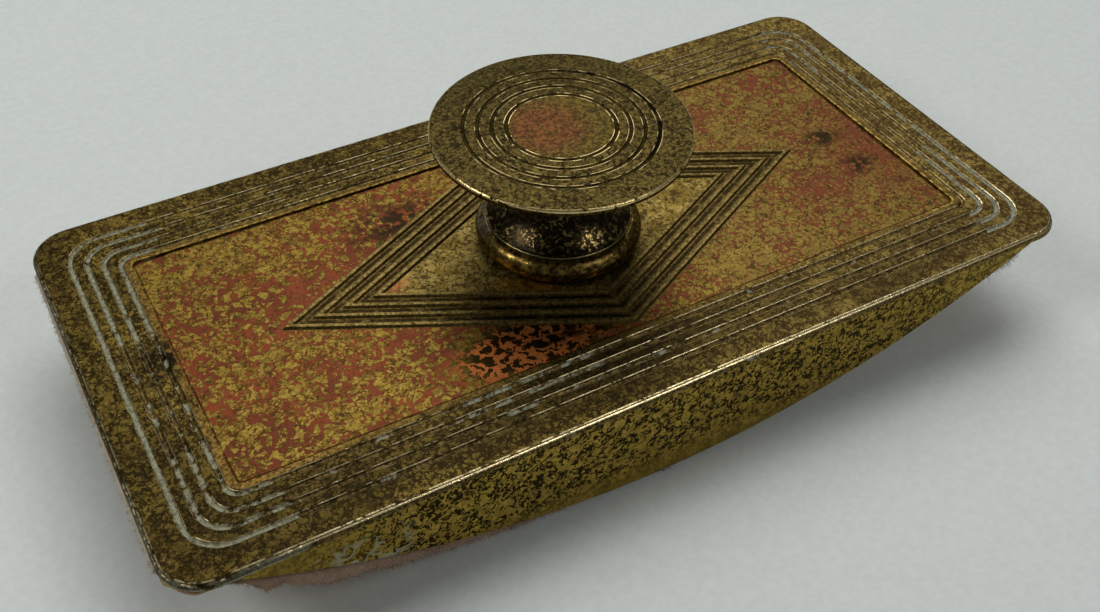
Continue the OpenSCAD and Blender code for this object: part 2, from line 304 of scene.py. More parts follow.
class CoverFields:
    """Where a point of the cover lies: border, panel, diamond, groove, skirt or bend."""

    def __init__(self, g):
        self.g = g
        self.ax = g.math("ABSOLUTE", g.x)
        self.ay = g.math("ABSOLUTE", g.y)
        self.top = g.ramp(g.z, -SKIRT_FROM - 0.05, -SKIRT_FROM + 0.05)
        self.skirt = g.inverse(self.top)
        self.inset = self.inside(GROOVE_CORNER_R)
        self.panel_inset = self.inside(PANEL_INSET + PANEL_CORNER_R)
        on_panel = g.ramp(self.panel_inset, PANEL_INSET - 0.05, PANEL_INSET + 0.05)
        self.panel = g.product(on_panel, self.top)
        self.rim = self.round_panel(-0.95, 0.35, 0.08)
        self.rim_edge = self.round_panel(-0.28, 0.02, 0.06)
        self.rim_line = self.round_panel(0.25, 0.5, 0.06)
        self.border = g.product(g.inverse(self.panel), self.top)
        self.groove = g.product(self.border, g.ramp(g.z, -0.12, -0.03, 1, 0))
        self.groove_lip = g.product(self.border, g.between(g.z, -0.07, -0.012, 0.012))
        self.set_diamond()
        self.set_bend()

    def round_panel(self, low, high, soft):
        """A band round the panel's outline, from low to high inside it."""
        g = self.g
        band = g.between(self.panel_inset, PANEL_INSET + low, PANEL_INSET + high, soft)
        return g.product(band, self.top)

    def inside(self, corner_r):
        """Distance in from the cover's outline, with that radius at its corners."""
        g = self.g
        qx = g.math("SUBTRACT", self.ax, HALF_L - corner_r)
        qy = g.math("SUBTRACT", self.ay, HALF_W - corner_r)
        px, py = g.most(qx, 0.0), g.most(qy, 0.0)
        out = g.math("SQRT", g.total(g.product(px, px), g.product(py, py)))
        within = g.math("MINIMUM", g.most(qx, qy), 0.0)
        return g.math("SUBTRACT", corner_r, g.total(out, within))

    def set_diamond(self):
        """The band of ridges, the field inside it and the dark lines between the ridges."""
        g = self.g
        reach = g.total(
            g.product(self.ax, DIAMOND_W / DIAMOND_SIDE), g.product(self.ay, DIAMOND_L / DIAMOND_SIDE)
        )
        within = g.ramp(reach, DIAMOND_IN - 0.1, DIAMOND_IN + 0.1)
        self.band = g.product(within, g.ramp(reach, DIAMOND_OUT, DIAMOND_OUT + 0.3, 1, 0), self.panel)
        self.field = g.product(g.inverse(within), self.panel)
        steps = g.math(
            "DIVIDE", g.math("SUBTRACT", DIAMOND_OUT - RIDGE_FOOT / 2, reach), RIDGE_PITCH
        )
        turn = g.math("FRACT", g.total(steps, 10.5))
        self.from_crest = g.product(g.math("ABSOLUTE", g.math("SUBTRACT", turn, 0.5)), RIDGE_PITCH)
        self.foot_line = g.product(self.band, g.ramp(self.from_crest, 0.55, 0.8))
        self.crest = g.product(self.band, g.ramp(self.from_crest, 0.2, 0.42, 1, 0))

    def set_bend(self):
        """The line where the rounded edge catches the light."""
        g = self.g
        over = g.math("SUBTRACT", BEND_R, self.inside(CORNER_R))
        up = g.total(g.z, BEND_R)
        turn = g.math("ARCTAN2", up, over)
        on_bend = g.product(g.ramp(over, 0.0, 0.05), g.ramp(up, 0.0, 0.05))
        self.bend = g.product(g.between(turn, 0.68, 0.98, 0.07), on_bend)
        self.edge = g.product(g.between(turn, 0.1, 1.5, 0.1), on_bend)

    def groove_number(self, index):
        """1 near that border groove, counted from the outside."""
        centre = GROOVE_FIRST + index * GROOVE_PITCH
        return self.g.between(self.inset, centre - GROOVE_REACH, centre + GROOVE_REACH, 0.1)


def patches(g, size, level, seed, soft=0.025, **how):
    """Crisp-edged patches: 1 where a noise is above level."""
    return g.ramp(g.noise(size, seed=seed, **how), level - soft, level + soft)


def network(g, size, seed, rough=0.4):
    """Above 0 on an uneven network, below 0 in the cells of that size between its lines."""
    walls = g.math("SUBTRACT", 0.10, g.cell_walls(size, 1.8 * size, seed))
    uneven = g.math("SUBTRACT", g.noise(size * 0.7, 2.0, 0.6, 0.3, seed=seed + 50), 0.5)
    return g.total(walls, g.product(uneven, rough))


# Where soft painted shade, partly grime, darkens the border: X, Y, radius, squash and amount
SHADE_AND_GRIME = (
    (-52, -31, 36, 0.35, 0.6),
    (-67, 31, 6, 1.0, 0.3),
    (-64, -18, 22, 0.7, 0.45),
    (-22, 31, 38, 0.2, 0.4),
    (40, -31, 34, 0.25, 0.35),
    (-6, -28, 44, 0.25, 0.75),
)


def border_colour(g, fine, broad):
    """Olive gold cells in a brown network, brighter to the right with painted light, and darkened in
    places with soft painted shade, partly grime.
    """
    cell = network(g, 1.1, 4, 0.7)
    # Painted light: the border's colours are lighter towards the right, where more light falls.
    right = g.ramp(g.x, -30.0, 60.0)
    light = g.mix(right, (108, 90, 38), (130, 112, 58))
    dark = g.mix(right, (72, 57, 24), (98, 81, 42))
    colour = g.mix(patches(g, 1.5, 0.5, 34, 0.04, detail=3.0, warp=0.6), light, dark)
    colour = g.mix(g.product(g.ramp(fine, 0.52, 0.62), 0.5), colour, (156, 132, 70))
    broken = patches(g, 3.0, 0.42, 44, 0.05, detail=2.0)
    line = g.most(
        g.product(g.ramp(cell, -0.02, 0.03), g.blend(broken, 0.25, 1.0)),
        g.squiggles(1.1, 0.045, 0.5, seed=5),
    )
    colour = g.mix(g.product(g.ramp(broad, 0.42, 0.62), 0.4), colour, (56, 45, 20))
    # The network's lines are also lighter to the right, as part of the same painted light.
    colour = g.mix(g.product(line, 0.85), colour, g.mix(right, (28, 20, 9), (62, 40, 22)))
    # Painted shade, partly grime, darkens the border at these spots.
    return g.mix(g.spots(SHADE_AND_GRIME), colour, (30, 24, 12)), line


# Where more red shows on the panel, or less of it: X, Y, radius, squash and amount
RED_PLACES = (
    (-38, 5, 17, 0.45, 0.10),
    (-24, 12, 16, 0.6, 0.07),
    (-50, 8, 9, 0.5, 0.04),
    (-30, -11, 22, 0.3, 0.03),
    (-51, -19, 9, 0.5, 0.05),
    (52, 18, 14, 0.5, 0.09),
    (58, -4, 11, 1.3, 0.12),
    (44, -9, 12, 0.5, 0.10),
    (33, 14, 10, 0.6, 0.06),
    (-14, -18, 16, 0.4, 0.04),
    (-44, 18, 24, 0.25, -0.10),
    (-44, -4, 10, 0.35, -0.12),
    (-56, 14, 9, 0.8, -0.06),
    (-40, -17, 10, 0.4, -0.05),
)


def redness(g):
    """Above 0 where the red ground shows between the gold cells."""
    lake = g.noise(4.5, 3.0, 0.55, 1.2, seed=7)
    # Where the cells are large: in patches on the left, in front of the knob and at the back right
    coarse = g.most(
        g.product(g.ramp(g.x, -5.0, 25.0, 1, 0), g.ramp(g.noise(5.0, 1.0, seed=78), 0.40, 0.52)),
        g.spot(-14, -18.5, 17, 0.45),
        g.spot(50, 16, 16, 0.5),
    )
    leaning = g.total(g.ramp(g.x, -8.0, 30.0, 0.03, -0.045), g.spots(RED_PLACES))
    cells = g.blend(coarse, network(g, 1.05, 76, 0.8), network(g, 1.9, 6, 1.0))
    return g.total(cells, g.product(g.math("SUBTRACT", lake, 0.5), 0.7), leaning)


def panel_colour(g, fine, middle, broad):
    """Gold cells over a red ground, with dark veins, a scorched patch, sooty smudges and a painted
    shadow of the knob among them, and painted shade towards the right.
    """
    red = redness(g)
    bare_red = g.ramp(red, -0.012, 0.012)
    # Painted shade: the gold and the red ground are made duller and darker towards the right, where
    # the light is stronger.
    right = g.ramp(g.x, -10.0, 30.0)
    gold = g.mix(g.ramp(middle, 0.38, 0.62), (126, 103, 41), (99, 77, 31))
    gold = g.mix(g.product(g.ramp(fine, 0.52, 0.62), 0.6), gold, (156, 130, 64))
    gold = g.mix(g.product(g.ramp(fine, 0.36, 0.46, 1, 0), 0.7), gold, (66, 49, 22))
    gold = g.mix(g.product(right, 0.5), gold, (114, 95, 49))
    ground = g.mix(g.ramp(broad, 0.35, 0.7), (122, 60, 34), (96, 48, 29))
    ground = g.mix(g.product(g.ramp(fine, 0.38, 0.54, 1, 0), 0.5), ground, (74, 38, 23))
    ground = g.mix(g.product(right, 0.5), ground, (110, 58, 40))
    blush = g.most(g.spot(56, -5, 14, 1.3), g.product(g.spot(44, -10, 9, 0.7), 0.8))
    gold = g.mix(g.product(blush, 0.5), gold, (112, 64, 40))

    # The scorched patch in front: the cells are black and the ground between them glows
    scorched = g.product(g.spot(-14, -18.5, 16, 0.42), 2.0, clamp=True)
    gold = g.mix(g.product(scorched, 0.92), gold, (28, 17, 9))
    ground = g.mix(g.product(scorched, 0.75), ground, (186, 110, 52))
    colour = g.mix(bare_red, gold, ground)

    # The stronger outlines to the right belong to the same painted shade.
    outline = g.product(g.between(red, -0.03, 0.0, 0.015), g.blend(right, 0.5, 0.65))
    colour = g.mix(outline, colour, (60, 38, 18))
    vein = g.most(g.squiggles(1.2, 0.04, 0.5, seed=8), g.squiggles(0.9, 0.045, 0.42, seed=48))
    colour = g.mix(g.product(vein, 0.8, g.blend(bare_red, 1.0, 0.4)), colour, (46, 31, 14))
    # Sooty smudges; the one left of the knob, at (-19, 13), is also a painted shadow of the knob.
    soot_and_shadow_spots = g.most(
        g.spot(-19, 13, 14, 0.55),
        g.spot(50, 0.5, 5, 0.7),
        g.spot(51, -8, 4.5, 0.8),
        g.spot(-7, -19, 9, 0.3),
        g.product(g.spot(22, 17, 8, 0.4), 0.6),
    )
    soot_and_shadow = g.product(soot_and_shadow_spots, patches(g, 1.4, 0.47, 10, 0.04, detail=3.0, rough=0.6, warp=0.5))
    return g.mix(g.product(soot_and_shadow, 0.9), colour, (24, 20, 12)), bare_red


def diamond_field_colour(g, middle):
    """Bright gold under a dense dark crackle, darkened round the knob with painted shade."""
    colour = g.mix(g.ramp(middle, 0.4, 0.6), (146, 126, 68), (114, 94, 42))
    crackle = g.most(
        patches(g, 0.9, 0.59, 11, detail=2.0, rough=0.6, warp=0.8),
        g.squiggles(1.1, 0.045, 0.58, seed=12),
    )
    colour = g.mix(g.product(crackle, 0.85), colour, (52, 40, 18))
    colour = g.mix(g.product(g.spot(-26.5, 1, 3.5, 0.6), 0.55), colour, (150, 76, 46))
    amber = g.product(g.spot(-9, -10, 7), 0.7)
    colour = g.mix(amber, colour, (140, 92, 14))
    # Painted shade round the knob, where the disc overhangs the field.
    shade_round_knob = g.spot(3, -5, 15, 0.8)
    return g.mix(g.product(shade_round_knob, 0.7), colour, (40, 30, 13))


def diamond_band_colour(g, f, fine):
    """Tan ridges with lighter crests as a painted highlight, and dirt deepened with painted shade
    along their feet.
    """
    cell = g.ramp(network(g, 0.9, 57), -0.05, 0.05)
    colour = g.mix(cell, (104, 86, 44), (66, 52, 25))
    # Painted highlight: the crests are lighter.
    crest = g.mix(g.ramp(fine, 0.42, 0.6), (134, 115, 64), (82, 66, 34))
    colour = g.mix(g.product(f.crest, 0.85), colour, crest)
    # Dirt along the ridges' feet, deepened with painted shade.
    dirt = g.product(f.foot_line, g.ramp(g.noise(1.6, 3.0, 0.6, seed=13), 0.32, 0.5, 0.25, 1.0))
    return g.mix(g.product(dirt, 0.9), colour, (26, 20, 10))


def skirt_colour(g, fine, middle):
    """Gold, darker at the left end, with short black strokes that thin out downwards and towards
    the ends."""
    stroke = g.most(
        g.squiggles(1.0, 0.078, 0.54, seed=14),
        g.squiggles(0.8, 0.07, 0.45, seed=64),
        patches(g, 0.8, 0.65, 15, 0.015, detail=1.0, rough=0.5, warp=1.0),
    )
    low = g.ramp(g.z, -15.8, -11.0, 0.25, 1.0)
    ends = g.ramp(g.x, 30.0, 60.0, 1.0, 0.8)
    left = g.ramp(g.x, -60.0, -40.0, 0.4, 1.0)
    stroke = g.product(stroke, low, ends, left)
    plain = g.mix(g.ramp(g.x, -66.0, -30.0), (118, 98, 40), (186, 156, 70))
    colour = g.mix(g.ramp(middle, 0.35, 0.65), plain, (154, 128, 56))
    colour = g.mix(g.product(g.ramp(fine, 0.45, 0.6), 0.4), colour, (106, 82, 40))
    return g.mix(g.product(stroke, 0.98), colour, (10, 7, 3)), stroke


def residue_amount(g, f):
    """Dried polish: nearly whole in the outer grooves at the two ends, and patchy elsewhere."""
    left = g.ramp(g.x, -55.0, -50.0, 1, 0)
    right = g.ramp(g.x, 54.0, 60.0)
    front = g.ramp(g.y, -22.0, -20.0, 1, 0)
    outer, second, third, inmost = (f.groove_number(i) for i in range(4))
    amount = g.most(
        g.product(left, outer, 0.95),
        g.product(left, g.ramp(g.y, 2.0, 9.0), 0.8),
        g.product(left, g.ramp(g.y, -19.0, -13.0, 0.7, 0.4)),
        g.product(right, outer, g.ramp(g.y, -9.0, -3.0, 1.0, 0.65)),
        g.product(right, second, g.ramp(g.y, -14.0, -6.0, 0.95, 0.4)),
        g.product(right, third, g.ramp(g.y, -14.0, -8.0, 0.8, 0.3)),
        g.product(right, g.ramp(g.y, 8.0, 18.0, 0.2, 0.5)),
        g.product(front, g.between(g.x, -31.0, -6.0, 3.0), g.most(third, inmost), 0.6),
        g.product(front, g.between(g.x, -26.0, 4.0, 3.0), second, 0.45),
        0.2,
    )
    patchy = g.noise(2.2, 4.0, 0.65, 0.6, seed=16)
    edge = g.product(g.math("SUBTRACT", g.noise(0.9, 2.0, 0.6, seed=66), 0.5), 0.35)
    floor = g.ramp(g.total(g.z, edge), -0.16, -0.09, 1, 0)
    where = g.ramp(g.total(patchy, g.product(amount, 0.42)), 0.70, 0.78)
    return g.product(floor, f.border, where)


def rim_colour(g, f, colour, fine, broad):
    """Tan laid on in patches along the panel's rounded rim."""
    tan = g.mix(g.ramp(fine, 0.42, 0.6), (126, 99, 48), (78, 59, 28))
    left = g.ramp(g.x, -52.0, -30.0, 0.95, 0.45)
    return g.mix(g.product(f.rim, g.ramp(broad, 0.38, 0.50), left), colour, tan)


def groove_dirt(g, f, colour, fine, middle):
    """Dirt in the border's grooves, and one black blot on the left."""
    dirt = g.mix(g.ramp(fine, 0.4, 0.6), (64, 53, 31), (150, 127, 76))
    colour = g.mix(g.product(f.groove, g.ramp(middle, 0.38, 0.55, 0.8, 0.4)), colour, dirt)
    blot = g.product(g.spot(-57.5, 2, 7, 0.9), patches(g, 1.3, 0.45, 19, 0.05, detail=3.0))
    return g.mix(g.product(blot, f.border, 0.95), colour, (18, 15, 10))


def dried_polish(g, colour, fine, residue):
    """Pale dried polish over the dirt, and strokes of it on the left of the front skirt."""
    pale = g.mix(g.ramp(g.x, -42.0, -32.0), RESIDUE, RESIDUE_COOL)
    pale = g.mix(g.product(g.ramp(fine, 0.42, 0.54, 1, 0), 0.6), pale, (92, 86, 62))
    colour = g.mix(g.product(residue, 0.92), colour, pale)
    scribble = g.product(
        g.between(g.x, -53.0, -41.0, 1.5),
        g.between(g.z, -9.5, -3.5, 1.0),
        g.ramp(g.y, -34.9, -34.5, 1, 0),
        g.squiggles(2.6, 0.05, 0.55, seed=17),
    )
    return g.mix(g.product(scribble, 0.7), colour, RESIDUE), scribble


def brass_wear_and_highlights(g, f, colour, residue):
    """Bare brass where edges rub, partly painted highlight: the bend, a whole thin line in front and
    broken elsewhere, the grooves' lips and the far side of the panel's rim; and painted shade on the
    rest of the rounded edge."""
    wear = g.noise(1.0, 3.0, 0.7, 0.2, seed=20)
    # The bend's bare brass is partly a painted highlight: whole along the front, broken by nicks
    # elsewhere.
    whole = g.product(g.ramp(g.y, -34.0, -33.0, 1, 0), g.ramp(g.x, -62.0, -40.0))
    nicks = g.blend(whole, g.ramp(wear, 0.54, 0.60), g.ramp(wear, 0.27, 0.34))
    faded = g.product(g.ramp(g.x, -69.0, -45.0, 0.55, 1.0), g.ramp(g.x, 25.0, 60.0, 1.0, 0.6))
    bend = g.product(f.bend, nicks, faded)

    # The grooves' bare lips are partly painted highlight, strongest along the front.
    front = g.product(g.ramp(g.y, -24.0, -21.0, 1, 0), g.ramp(g.x, -30.0, 0.0))
    strong = g.blend(front, g.ramp(f.ax, 50.0, 54.0, 0.65, 0.3), 0.95)
    kept = g.noise(2.2, 3.0, 0.65, seed=21)
    dashes = g.blend(front, g.ramp(kept, 0.42, 0.54), g.ramp(kept, 0.36, 0.46))
    lip = g.product(f.groove_lip, dashes, strong, g.inverse(residue))

    bare = g.most(bend, lip)
    # Rubbed brass with a painted highlight on the panel's rim at the right and back.
    far_rim = g.most(g.ramp(g.x, 45.0, 57.0), g.ramp(g.y, 20.0, 23.0, 0, 0.5))
    rim_wear_and_highlight = g.product(f.rim_edge, g.ramp(wear, 0.47, 0.53), far_rim)
    # Painted shade darkens the rounded edge, except along the whole front line.
    colour = g.mix(g.product(f.edge, g.inverse(whole), 0.7), colour, (38, 29, 14))
    colour = g.mix(bare, colour, BRASS_AND_HIGHLIGHT)
    return g.mix(rim_wear_and_highlight, colour, (196, 164, 82)), bare


def cover_bronze():
    """The cover: every field of it in its own colours, with its dirt, dried polish and wear, and
    painted light, shade and highlights in places.
    """
    g = Graph("bronze_cover_m", Specular_IOR_Level=0.15, Specular_Tint=EDGE_TINT)
    f = CoverFields(g)
    fine = g.noise(0.5, 3.0, 0.65, 0.2, seed=1)
    broad = g.noise(9.0, 3.0, 0.55, 0.6, seed=2)
    middle = g.noise(2.4, 3.0, 0.6, 0.6, seed=3)

    border, line = border_colour(g, fine, broad)
    panel, bare_red = panel_colour(g, fine, middle, broad)
    skirt, stroke = skirt_colour(g, fine, middle)
    colour = g.mix(f.skirt, border, skirt)
    colour = rim_colour(g, f, colour, fine, broad)
    colour = g.mix(f.panel, colour, panel)
    # A dark line just inside the panel's rim: painted shade at the foot of its step, broken in
    # patches.
    colour = g.mix(g.product(f.rim_line, g.ramp(middle, 0.4, 0.55), 0.7), colour, (44, 30, 14))
    colour = g.mix(f.field, colour, diamond_field_colour(g, middle))
    colour = g.mix(f.band, colour, diamond_band_colour(g, f, fine))

    colour = groove_dirt(g, f, colour, fine, middle)
    residue = residue_amount(g, f)
    colour, scribble = dried_polish(g, colour, fine, residue)
    colour, bare = brass_wear_and_highlights(g, f, colour, residue)

    metal = g.blend(g.product(bare_red, f.panel, g.inverse(f.band)), 0.96, 0.7)
    metal = g.blend(g.most(residue, g.product(scribble, 0.9)), metal, 0.0)
    metal = g.blend(bare, metal, 1.0)
    rough = g.total(0.38, g.product(fine, 0.16), g.product(residue, 0.35))
    rough = g.blend(bare, rough, 0.22)
    relief = g.total(
        g.product(line, f.border, -0.5),
        g.product(stroke, f.skirt, -0.7),
        g.product(bare_red, f.panel, -0.6),
        g.product(fine, 0.7),
        g.product(residue, 1.0),
        g.product(middle, 0.6),
    )
    return g.finish(colour, rough, metal, g.bump(relief, 0.05))


# ---------------------------------------------------------------- the knob's finishes


def from_axis(g):
    """Distance from the knob's axis, in millimetres."""
    return g.math("SQRT", g.total(g.product(g.x, g.x), g.product(g.y, g.y)))


def knob_disc_bronze():
    """The knob's disc: stippled bronze, darker towards the back with painted shade, a plain middle,
    ring grooves and a bright rim.
    """
    g = Graph("bronze_disc_m", Specular_IOR_Level=0.15, Specular_Tint=EDGE_TINT)
    far = from_axis(g)
    fine = g.noise(0.5, 3.0, 0.7, 0.4, seed=21)
    middle = g.noise(2.2, 3.0, 0.6, 0.6, seed=22)
    cell = network(g, 0.85, 23, 0.7)
    colour = g.mix(g.ramp(cell, -0.05, 0.03), (84, 71, 34), (48, 39, 18))
    colour = g.mix(g.product(g.ramp(fine, 0.35, 0.46, 1, 0), 0.75), colour, (28, 22, 11))
    colour = g.mix(g.product(g.ramp(fine, 0.54, 0.61), 0.65), colour, (116, 100, 51))
    colour = g.mix(g.product(g.squiggles(1.1, 0.05, 0.54, seed=29), 0.9), colour, (24, 18, 9))
    # Painted shade: the disc is darker towards its back.
    colour = g.mix(g.product(g.ramp(g.y, -4.0, 16.0), 0.35), colour, (38, 34, 18))

    # The plain middle: gold, blushed with red on the left
    inner = g.ramp(far, RING_FIRST - 0.6, RING_FIRST - 0.3, 1, 0)
    gold = g.mix(g.ramp(fine, 0.42, 0.56), (98, 82, 38), (58, 47, 22))
    blush = g.product(
        g.product(g.spot(-2.2, 0.8, 8.0), 1.5, clamp=True),
        g.ramp(network(g, 1.3, 24), -0.04, 0.04, 1.0, 0.3),
    )
    red = g.mix(g.ramp(fine, 0.42, 0.56), (114, 64, 42), (78, 46, 28))
    gold = g.mix(g.product(blush, 0.85), gold, red)
    gold = g.mix(g.product(g.squiggles(1.1, 0.05, 0.4, seed=34), 0.6), gold, (42, 27, 15))
    colour = g.mix(inner, colour, gold)

    # The rings: worn bright lips, and dirt in the outermost one on the right
    steps = g.math("DIVIDE", g.math("SUBTRACT", far, RING_FIRST), RING_PITCH)
    turn = g.math("FRACT", g.total(steps, 1.5))
    beside = g.product(g.math("ABSOLUTE", g.math("SUBTRACT", turn, 0.5)), RING_PITCH)
    ring_last = RING_FIRST + (RING_COUNT - 1) * RING_PITCH
    in_rings = g.product(
        g.between(far, RING_FIRST - 0.7, ring_last + 0.7, 0.1),
        g.ramp(g.z, DISC_TOP - 0.4, DISC_TOP - 0.3),
    )
    bottom = g.product(in_rings, g.ramp(beside, 0.1, 0.28, 1, 0))
    colour = g.mix(g.product(bottom, 0.4), colour, (60, 50, 26))
    lip = g.product(in_rings, g.between(beside, 0.28, 0.40, 0.04))
    innermost = g.ramp(far, RING_FIRST + 0.6, RING_FIRST + 1.2, 0.85, 0.5)
    worn = g.product(lip, g.ramp(g.noise(3.0, 3.0, 0.65, seed=25), 0.47, 0.56), innermost)
    outermost = g.ramp(far, ring_last - 0.6 * RING_PITCH, ring_last - 0.4 * RING_PITCH)
    clogged = g.product(
        in_rings,
        outermost,
        g.ramp(beside, 0.35, 0.5, 1, 0),
        g.ramp(g.x, 4.0, 9.0),
        patches(g, 1.2, 0.46, 27, detail=2.0),
    )
    colour = g.mix(g.product(clogged, 0.95), colour, (16, 13, 8))

    # The rim's bright edge
    wear = g.ramp(g.noise(1.4, 2.0, 0.6, seed=28), 0.34, 0.46)
    at_rim = g.ramp(far, DISC_R - 0.30, DISC_R - 0.16)
    edge = g.product(at_rim, g.ramp(g.z, DISC_TOP - 0.5, DISC_TOP - 0.4), wear)
    bare = g.most(edge, worn)
    colour = g.mix(bare, colour, (226, 200, 140))
    metal = g.blend(bare, 0.96, 1.0)
    rough = g.blend(bare, g.total(0.38, g.product(fine, 0.18)), 0.25)
    relief = g.total(fine, g.product(middle, 0.7))
    return g.finish(colour, rough, metal, g.bump(relief, 0.05))


def knob_neck_dark():
    """The neck: glossy dark bronze with flecks of bare brass, and a paler bottom lip."""
    g = Graph("dark_neck_m", Specular_Tint=EDGE_TINT)
    fine = g.noise(0.5, 4.0, 0.7, 0.6, seed=31)
    flecks = g.most(
        patches(g, 0.7, 0.57, 32, 0.03, detail=3.0, rough=0.7, warp=0.8),
        g.squiggles(1.0, 0.05, 0.4, seed=35),
    )
    cloud = g.ramp(g.noise(4.5, 2.0, 0.5, seed=33), 0.42, 0.58, 0.15, 1.0)
    colour = g.mix(g.product(flecks, cloud, 0.85), (40, 32, 19), (176, 150, 94))
    lip = g.ramp(from_axis(g), NECK_LIP_R - 0.15, NECK_LIP_R)
    colour = g.mix(g.product(lip, 0.6), colour, (150, 134, 96))
    rough = g.total(0.14, g.product(fine, 0.16))
    return g.finish(colour, rough, 0.95, g.bump(fine, 0.04))


def knob_bead_gold():
    """The bead: polished gold under tarnish, darkened at its foot with painted shade, with a dull
    pale film on the left that is partly a painted reflection.
    """
    g = Graph("gold_bead_m", Specular_Tint=EDGE_TINT)
    fine = g.noise(0.5, 4.0, 0.7, 0.6, seed=41)
    tarnish = g.ramp(g.noise(2.2, 4.0, 0.65, 0.6, seed=42), 0.40, 0.56)
    colour = g.mix(g.product(tarnish, 0.85), (178, 146, 72), (70, 54, 26))
    colour = g.mix(g.product(patches(g, 0.7, 0.55, 43, 0.03, detail=3.0), 0.75), colour, (38, 28, 13))
    # A pale dull film on the bead's left, partly a painted reflection of the light on that side.
    bloom_and_reflection = g.product(g.spot(-10.5, 5.0, 6.5), g.ramp(g.z, 1.4, 2.6), g.ramp(fine, 0.40, 0.56))
    colour = g.mix(g.product(bloom_and_reflection, 0.8), colour, (120, 118, 98))
    # Painted shade darkens the bead towards its foot on the plate.
    low = g.ramp(g.z, 0.1, 1.5, 1, 0)
    colour = g.mix(g.product(low, 0.8), colour, (44, 30, 12))
    rough = g.total(0.14, g.product(fine, 0.14), g.product(tarnish, 0.06))
    return g.finish(colour, rough, g.blend(bloom_and_reflection, 0.95, 0.55), g.bump(fine, 0.03))


# ---------------------------------------------------------------- the hidden metal


# Material, its colour and stain, the stain's size, roughness and seed for each hidden piece
HIDDEN_METAL = {
    "rocker_plate": ("brass_sheet_m", (172, 146, 88), (96, 76, 40), 5.0, 0.38, 71),
    "bridge_strap": ("steel_strap_m", (158, 156, 150), (104, 92, 72), 3.0, 0.36, 73),
    "bridge_rivets": ("brass_rivet_m", (190, 164, 100), (110, 88, 48), 1.0, 0.32, 75),
    "square_nut": ("brass_nut_m", (184, 158, 98), (104, 84, 48), 1.5, 0.34, 77),
    "knob_stud": ("brass_stud_m", (186, 162, 104), (100, 80, 46), 1.0, 0.30, 79),
    "stud_collar": ("brass_collar_m", (180, 152, 92), (100, 80, 44), 1.5, 0.34, 81),
}


def plain_metal(name, base, stain, scale, rough, seed):
    """Sheet or turned metal with a little stain and a fine grain along X."""
    g = Graph(name)
    grain = g.noise(0.15, 2.0, 0.6, seed=seed, stretch=(12, 1, 1))
    spots = g.ramp(g.noise(scale, 4.0, 0.65, 0.8, seed=seed + 1), 0.48, 0.68)
    colour = g.mix(g.product(spots, 0.7), base, stain)
    colour = g.mix(g.product(grain, 0.25), colour, stain)
    roughness = g.total(rough, g.product(grain, 0.12), g.product(spots, 0.15))
    return g.finish(colour, roughness, 0.9, g.bump(g.total(grain, spots), 0.01))


# ---------------------------------------------------------------- the blotting paper


def paper_fibre():
    """The paper: soft pulp with fibres, soiled at its long edges and paler at the end folds."""
    g = Graph("blotting_paper_m", Specular_IOR_Level=0.1)
    pulp = g.noise(0.5, 5.0, 0.7, 0.5, seed=51)
    cloud = g.noise(6.0, 3.0, 0.5, seed=52)
    fibre = g.squiggles(0.7, 0.03, 0.6, seed=53)
    colour = g.mix(g.ramp(cloud, 0.35, 0.65), (184, 154, 132), (168, 140, 116))
    colour = g.mix(g.product(g.ramp(pulp, 0.45, 0.7), 0.5), colour, (200, 174, 152))
    colour = g.mix(g.product(g.ramp(pulp, 0.30, 0.42, 1, 0), 0.5), colour, (140, 108, 88))
    colour = g.mix(g.product(fibre, 0.4), colour, (214, 190, 172))
    side = g.ramp(g.math("ABSOLUTE", g.y), PAPER_HALF_W - 0.6, PAPER_HALF_W + 1.2)
    soiled = g.product(side, g.ramp(g.noise(2.2, 3.0, 0.6, seed=54), 0.35, 0.6, 0.25, 0.8))
    colour = g.mix(g.product(soiled, 0.6), colour, (158, 132, 108))
    fold = g.ramp(g.math("ABSOLUTE", g.x), HALF_L - 0.8, HALF_L + 0.2)
    colour = g.mix(g.product(fold, g.ramp(pulp, 0.3, 0.6, 0.6, 0.95)), colour, (200, 186, 166))
    relief = g.total(pulp, g.product(fibre, 0.6))
    return g.finish(colour, 0.95, 0.0, g.bump(relief, 0.15))


def smooth(value, low, high):
    """0 up to low, 1 from high on, and a smooth step between."""
    s = min(1.0, max(0.0, (value - low) / (high - low)))
    return s * s * (3 - 2 * s)


def wobble(place, size, seed):
    """Noise from about -1 to 1 with features of that size along a line."""
    return noise.noise(Vector((place / size, 7.3 * seed, 1.7 * seed)))


def strip_path(step):
    """The strip's middle line in X and Z with its outward normal: right tail, wrap, flat, arc,
    and the same backwards on the left."""
    tail_x = WRAP_X - TAIL
    half = [(tail_x + step * i, WRAP_Z + WRAP_R, 0.0, 1.0) for i in range(int(TAIL / step))]
    for i in range(WRAP_STEPS + 1):
        a = math.pi / 2 - math.pi * i / WRAP_STEPS
        nx, nz = math.cos(a), math.sin(a)
        half.append((WRAP_X + WRAP_R * nx, WRAP_Z + WRAP_R * nz, nx, nz))
    flats = int((WRAP_X - FLAT_X) / step)
    for i in range(1, flats):
        half.append((WRAP_X - step * i, FLAT_Z + PAPER_T / 2, 0.0, -1.0))
    widest = math.asin(FLAT_X / PAPER_R)
    arcs = int(widest * PAPER_R / step)
    r = PAPER_R - PAPER_T / 2
    for i in range(arcs):
        a = widest * (1 - i / arcs)
        half.append((r * math.sin(a), PAPER_R - r * math.cos(a), math.sin(a), -math.cos(a)))
    middle = (0.0, PAPER_T / 2, 0.0, -1.0)
    return half + [middle] + [(-x, z, -nx, nz) for x, z, nx, nz in reversed(half)]


